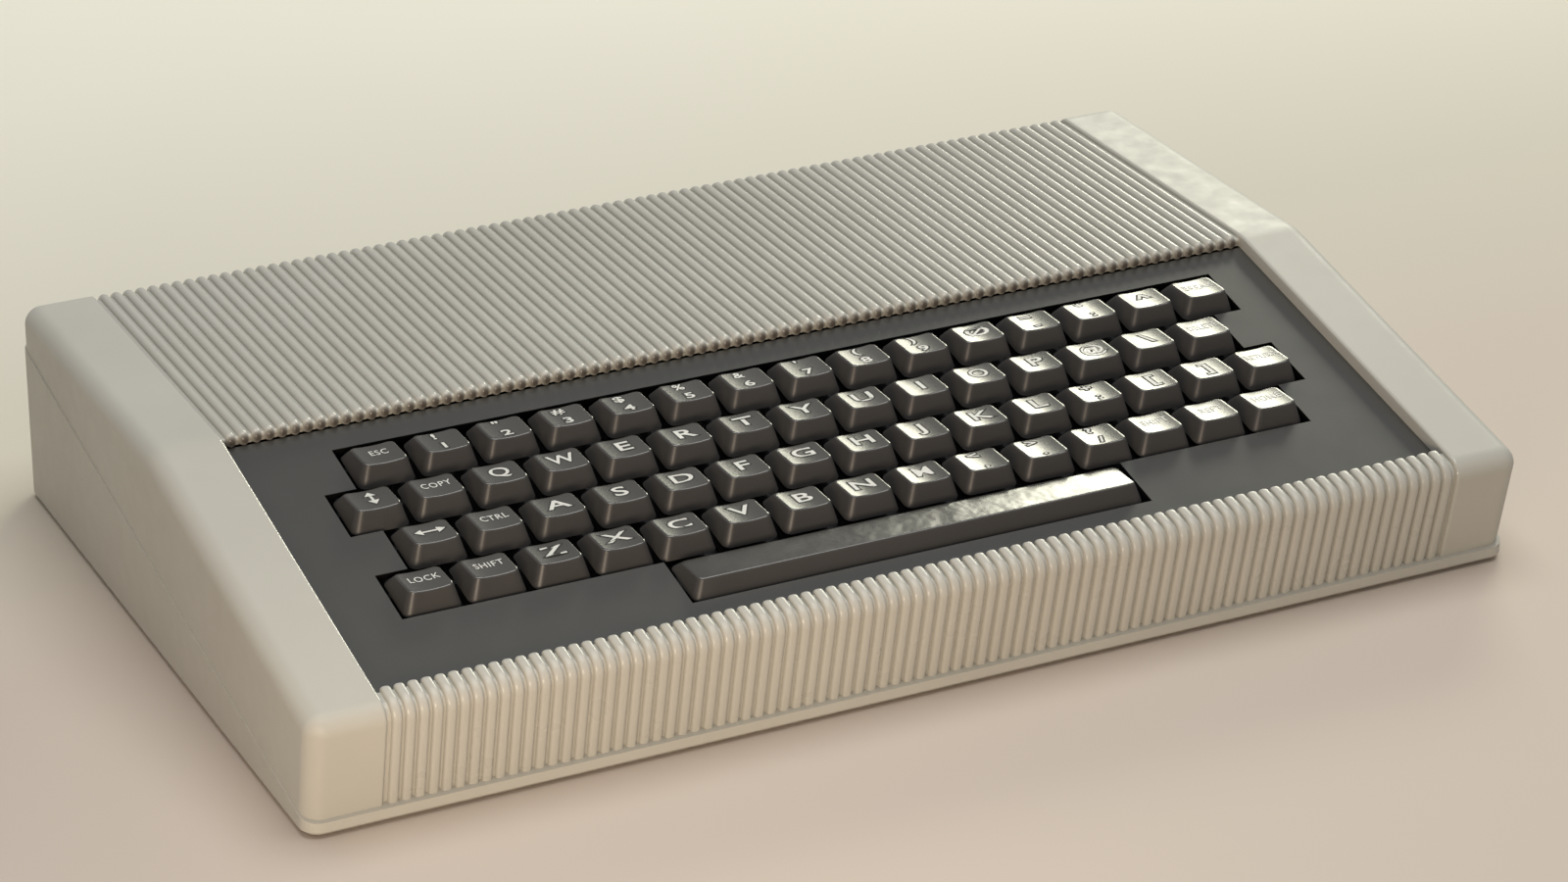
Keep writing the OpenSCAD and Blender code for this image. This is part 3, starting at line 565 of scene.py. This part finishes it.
def text_outline(text, size, thicker):
    """The filled outline of a text, thickened all round, as flat points and triangles about the origin."""
    letters = bpy.data.curves.new("letters", "FONT")
    letters.body, letters.size, letters.resolution_u = text, size, 4
    letters.align_x, letters.align_y, letters.offset = "CENTER", "CENTER", thicker
    letters.space_character = 1.12
    holder = bpy.data.objects.new("letters", letters)
    bpy.context.scene.collection.objects.link(holder)
    flat = bpy.data.meshes.new_from_object(holder.evaluated_get(bpy.context.evaluated_depsgraph_get()))
    flat.calc_loop_triangles()
    spots = np.zeros(len(flat.vertices) * 3)
    flat.vertices.foreach_get("co", spots)
    corners = np.zeros(len(flat.loop_triangles) * 3, int)
    flat.loop_triangles.foreach_get("vertices", corners)
    bpy.data.objects.remove(holder)
    bpy.data.curves.remove(letters)
    bpy.data.meshes.remove(flat)
    return spots.reshape(-1, 3)[:, :2], corners.reshape(-1, 3)


def double_arrow(length, upright, thicker):
    """A two-headed arrow as flat points and triangles: two heads and a shaft between them."""
    head, half_head, half_shaft, tip_growth, neck_growth = 2.4, 1.7, 0.4, 1.6, 0.4
    half, neck = length / 2 + tip_growth * thicker, length / 2 - head - neck_growth * thicker
    half_head, half_shaft = half_head + tip_growth * thicker, half_shaft + thicker
    spots = np.array([
        [-half, 0], [-neck, half_head], [-neck, -half_head], [half, 0], [neck, half_head], [neck, -half_head],
        [-neck, half_shaft], [-neck, -half_shaft], [neck, half_shaft], [neck, -half_shaft],
    ], float)
    if upright:
        spots = spots[:, ::-1]
    return spots, np.array([[0, 2, 1], [3, 4, 5], [6, 7, 9], [6, 9, 8]])


# Sizes, strokes and places of the printed legends.
word_size, letter_size, sign_size, up_down_length, left_right_length = 4.3, 7.6, 4.9, 7.6, 9.2
bold, groove_width, word_groove = 0.11, 0.42, 0.10
word_bold = 0.3 * bold
word_place, letter_place, sign_place, digit_place = (0.2, 0.6), (0.2, 0.3), (-1.1, 3.3), (-0.3, -3.0)
broad_letters, letter_widen, short_word, short_widen, long_widen = "WMQO@%&", 1.32, 6, 0.74, 0.65
groove_lift, print_lift = 0.015, 0.08


def legend_parts(legend):
    """What is printed on one top, as (points, triangles, is groove), placed on the level top."""
    parts = []
    for groove in (True, False):
        if legend in ("up_down", "left_right"):
            upright = legend == "up_down"
            length = up_down_length if upright else left_right_length
            spots, triangles = double_arrow(length, upright, groove_width * groove)
            parts.append((spots + word_place, triangles, groove))
            continue
        if isinstance(legend, tuple):
            pieces = [(legend[0], sign_size, sign_place), (legend[1], sign_size, digit_place)]
        elif len(legend) > 1:
            pieces = [(legend, word_size, word_place)]
        else:
            pieces = [("\u00d8" if legend == "0" else legend, letter_size, letter_place)]
        for text, size, spot in pieces:
            word = size == word_size
            thicker = (word_bold if word else bold) + (word_groove if word else groove_width) * groove
            spots, triangles = text_outline(text, size, thicker)
            if word:
                widen = short_widen if len(text) < short_word else long_widen
            else:
                widen = 1.0 if text in broad_letters else letter_widen
            parts.append((spots * [widen, 1.0] + spot, triangles, groove))
    return parts


def keycap(row, place, legend):
    """Patches and printed faces of the cap at this place of this row.

    Slots: 0 the top, 1 the print, 2 the painted shade of its groove, 3 the plunger and the sides, 4 the rim.
    """
    x = key_shift - middle_place * key_pitch - (row % 2) * key_pitch / 2 + place * key_pitch
    v = first_row_v - row * key_pitch
    stacks = cap_rings(foot_half, foot_half, top_half_width, top_half_depth, key_top, dish)
    printed = []
    for spots, triangles, groove in legend_parts(legend):
        lift = groove_lift if groove else print_lift
        points = level(spots, dish(spots[:, 0]) + lift, key_top) + [x, v, 0.0]
        printed.append((from_slope(*points.T), triangles, 2 if groove else 1))
    patches = [(from_slope(*np.moveaxis(stack + [x, v, 0.0], -1, 0)), True, slot)
               for stack, slot in zip(stacks, (3, 4, 0))]
    return patches, printed


legends = [
    ["ESC", ("!", "1"), ('"', "2"), ("#", "3"), ("$", "4"), ("%", "5"), ("&", "6"), ("'", "7"), ("(", "8"),
     (")", "9"), "0", ("=", "-"), ("*", ":"), "^", "BREAK"],
    ["up_down", "COPY", *"QWERTYUIOP", "@", "\\", "DELETE"],
    ["left_right", "CTRL", *"ASDFGHJKL", ("+", ";"), "[", "]", "RETURN"],
    ["LOCK", "SHIFT", *"ZXCVBNM", ("<", ","), (">", "."), ("?", "/"), "SHIFT", "REPT", "HOME"],
]


def key_name(legend):
    """The name that a key with this legend has as a node of its own."""
    return "key_" + (legend[1] if isinstance(legend, tuple) else legend).lower()


key_places = {key_name(legend): [(row, place)] for row, line in enumerate(legends)
              for place, legend in enumerate(line) if key_name(legend) in nodes}
key_places["left_control_keys"] = [(0, 0), (1, 0), (1, 1), (2, 0), (2, 1), (3, 0), (3, 1)]
key_places["right_control_keys"] = [(0, 13), (0, 14), (1, 14), (2, 14), (3, 12), (3, 13), (3, 14)]
key_places["upper_sign_keys"] = [(0, 11), (0, 12), (1, 12), (1, 13)]
key_places["lower_sign_keys"] = [(2, 11), (2, 12), (2, 13), (3, 9), (3, 10), (3, 11)]
for node, places in key_places.items():
    caps = [keycap(row, place, legends[row][place]) for row, place in places]
    cap_piece = new_piece(
        node + "_cap" if node.startswith("key_") else node.replace("_keys", "_caps"),
        [patch for patches, _ in caps for patch in patches],
        [key_plastic, legend_white, painted_groove_shade, shaded_side_plastic, rim_plastic], node,
        keep=[part for _, printed in caps for part in printed],
    )
    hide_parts(node)

# The space bar has the same section, but a plain top, and rides on three plungers. Slots: 0 the top,
# 1 the plungers and the sides, 2 the rim.
bar_x, bar_v, bar_foot_half, bar_top_half, bar_top = 2.775, 29.94, 70.85, 68.75, -1.0
post_top = ceiling_w - 0.5
bar_stacks = cap_rings(bar_foot_half, foot_half, bar_top_half, top_half_depth, bar_top, np.zeros_like)
bar_patches = [(from_slope(*np.moveaxis(stack + [bar_x, bar_v, 0.0], -1, 0)), True, slot)
               for stack, slot in zip(bar_stacks, (1, 2, 0))]
for plunger_x in (-3 * key_pitch, 3 * key_pitch):
    circle = rounded_ring(plunger_radius, plunger_radius, plunger_radius)
    tube = [(0.0, plunger_foot), (1.0, plunger_foot), (1.0, post_top), (0.0, post_top)]
    post = np.stack([np.concatenate([circle * r, np.full((points_round, 1), w)], -1) for r, w in tube])
    bar_patches.append((from_slope(*np.moveaxis(post + [bar_x + plunger_x, bar_v, 0.0], -1, 0)), True, 1))
space_bar_cap = new_piece("space_bar_cap", bar_patches, [bar_plastic, shaded_side_plastic, rim_plastic], "space_bar")
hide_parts("space_bar")


# --- Key switches -------------------------------------------------------------
# A blackened steel plate under the panel carries a black housing for every key, and the housings
# stand on a laminate board.
blackened = plastic("blackened_steel", (0.022, 0.022, 0.024), (0.030, 0.030, 0.032), 0.5, 0.0006, 0.000004)
housing_black = plastic("black_plastic", (0.012, 0.012, 0.013), (0.018, 0.018, 0.018), 0.5, 0.0004, 0.000004)
dress("switch_plate", blackened)
dress("switch_housings", housing_black)


# --- Boards -------------------------------------------------------------------
# Two glass laminate boards with a green mask. Chips, capacitors, regulators with their heat sink
# and the ribbon between the boards are soldered to them.
laminate = plastic("board_laminate", (0.030, 0.115, 0.045), (0.020, 0.080, 0.034), 0.38, 0.0012, 0.00001)
capacitor_blue = plastic("capacitor_sleeve", (0.020, 0.045, 0.16), (0.016, 0.038, 0.13), 0.3, 0.002, 0.000004)
ribbon_grey = plastic("ribbon_sleeve", (0.30, 0.31, 0.33), (0.26, 0.27, 0.29), 0.5, 0.0013, 0.00003)


def metal(name, colour, roughness, grain, grain_depth):
    """Bare metal: a drifting tint, fine scratches as bump, and full metalness."""
    material = plastic(name, colour, tuple(0.8 * c for c in colour), roughness, grain, grain_depth)
    material.node_tree.nodes["Principled BSDF"].inputs["Metallic"].default_value = 1.0
    return material


sink_metal = metal("sink_aluminium", (0.55, 0.55, 0.57), 0.45, 0.0008, 0.00001)
for board in ("keyboard_board", "main_board"):
    dress(board, laminate)
dress("board_chips", housing_black)
dress("capacitors", capacitor_blue)
dress("voltage_regulators", housing_black)
dress("heat_sink", sink_metal)
dress("ribbon_cable", ribbon_grey)


# --- Rear sockets and loudspeaker ---------------------------------------------
# A tinned can with the television socket, two round signal sockets, a coaxial power inlet and a
# long expansion connector face the rear. The loudspeaker lies on the floor under the keyboard.
tinned = metal("plated_can", (0.66, 0.66, 0.67), 0.33, 0.003, 0.00001)
connector_cream = plastic("connector_plastic", (0.45, 0.42, 0.34), (0.40, 0.37, 0.30), 0.45, 0.0004, 0.000006)
speaker_black = plastic("speaker_frame", (0.030, 0.030, 0.030), (0.045, 0.044, 0.042), 0.7, 0.0015, 0.00004)
dress("tv_modulator", tinned)
dress("din_sockets", housing_black)
dress("power_socket", housing_black)
dress("expansion_connector", connector_cream)
dress("loudspeaker", speaker_black)


def turned(profile, x, z, face, count=28):
    """A profile of (radius, reach) turned about an axis that points to the rear, from a socket's face."""
    turn = np.linspace(0, 2 * math.pi, count, endpoint=False)
    radius, reach = np.array(profile, float).T
    return np.stack(np.broadcast_arrays(
        x + radius[:, None] * np.cos(turn), face + reach[:, None], z + radius[:, None] * np.sin(turn)
    ), -1) * mm


# Each signal socket has a rolled steel rim and five contacts on half a circle in its black core.
(din_low, din_high), pin_circle, pin_lift, pin_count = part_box("din_sockets"), 3.5, 0.8, 5
signal_sockets = (-64.0, -25.6)
din_face, din_z = din_high[1] / mm, (din_low[2] + din_high[2]) / 2 / mm
rim_profile = [(7.55, -1.5), (7.55, 0.1), (7.4, 0.28), (7.1, 0.34), (6.8, 0.28), (6.65, 0.1), (6.65, -1.5)]
contact_profile = [(0.95, 0.0), (0.92, 0.07), (0.84, 0.1), (0.66, 0.1)]
hole_profile = [(0.66, 0.1), (0.6, 0.03), (0.0, 0.03)]
din_patches = []
for socket_x in signal_sockets:
    din_patches.append((turned(rim_profile, socket_x, din_z, din_face, 64), True, 0))
    for pin in range(pin_count):
        pin_turn = math.pi * pin / (pin_count - 1)
        pin_x = socket_x + pin_circle * math.cos(pin_turn)
        pin_z = din_z + pin_lift - pin_circle * math.sin(pin_turn)
        din_patches.append((turned(contact_profile, pin_x, pin_z, din_face), True, 0))
        din_patches.append((turned(hole_profile, pin_x, pin_z, din_face), True, 1))
signal_contacts = new_piece("signal_contacts", din_patches, [tinned, housing_black], "case", closed=False)

# The expansion connector holds two rows of bowed gold springs.
spring_gold = metal("contact_gold", (0.80, 0.55, 0.22), 0.28, 0.001, 0.000004)
bus_low, bus_high = (np.array(corner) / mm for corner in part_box("expansion_connector"))
spring_pitch, spring_width, slot_rim, slot_opening, springs_each_side = 2.54, 1.3, 1.8, 3.6, 16
spring_inset, spring_length, spring_foot, spring_bow = 4.2, 3.7, 0.15, 0.75
along = np.linspace(0.0, 1.0, 9)
spring_patches = []
spring_steps = np.arange(-springs_each_side, springs_each_side + 1)
for spring_x in spring_steps * spring_pitch + (bus_low[0] + bus_high[0]) / 2:
    for side, root in ((1.0, bus_low[2] + slot_rim), (-1.0, bus_low[2] + slot_rim + slot_opening)):
        spring_y = bus_high[1] - spring_inset + spring_length * along
        spring_z = root + side * (spring_foot + spring_bow * np.sin(math.pi * along) ** 2)
        across = np.array([-0.5, 0.5]) * spring_width
        spring_patches.append((np.stack(np.broadcast_arrays(
            spring_x + across[None, :], spring_y[:, None], spring_z[:, None]), -1) * mm, False, 0))
bus_springs = new_piece("bus_springs", spring_patches, [spring_gold], "case", closed=False)


# --- Screws and feet ----------------------------------------------------------
# Zinc plated screws hold the shells together, the switch plate and the main board. Four moulded
# rubber feet are pressed into the base.
zinc = metal("zinc_screws", (0.50, 0.50, 0.52), 0.35, 0.001, 0.00001)
foot_rubber = plastic("foot_rubber", (0.018, 0.018, 0.018), (0.026, 0.025, 0.024), 0.8, 0.0005, 0.00002)
dress("screws", zinc)
dress("rubber_feet", foot_rubber)
